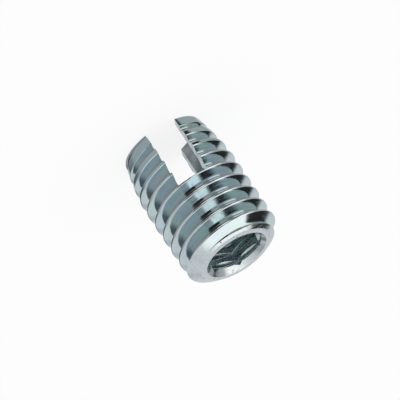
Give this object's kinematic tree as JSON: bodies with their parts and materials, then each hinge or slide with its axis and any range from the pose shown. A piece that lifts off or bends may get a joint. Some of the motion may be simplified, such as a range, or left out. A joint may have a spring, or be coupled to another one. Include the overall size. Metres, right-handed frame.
{
  "type": "threaded insert",
  "caption": "Self-tapping steel insert with a coarse outer thread, a slotted tapered tip, a hexagon socket and a tapped bore.",
  "frame": {"origin": "on the axis, in the plane of the tip that the two ears stand on", "axes": "+Z along the axis from the slotted tip to the drive end; X along the cutting slot"},
  "size_m": [0.01, 0.01, 0.0137],
  "materials": {
    "zinc_plated_steel": "bright zinc plating with a blue passivated film"
  },
  "bodies": {
    "root": {"insert": "zinc_plated_steel"}
  },
  "joints": []
}
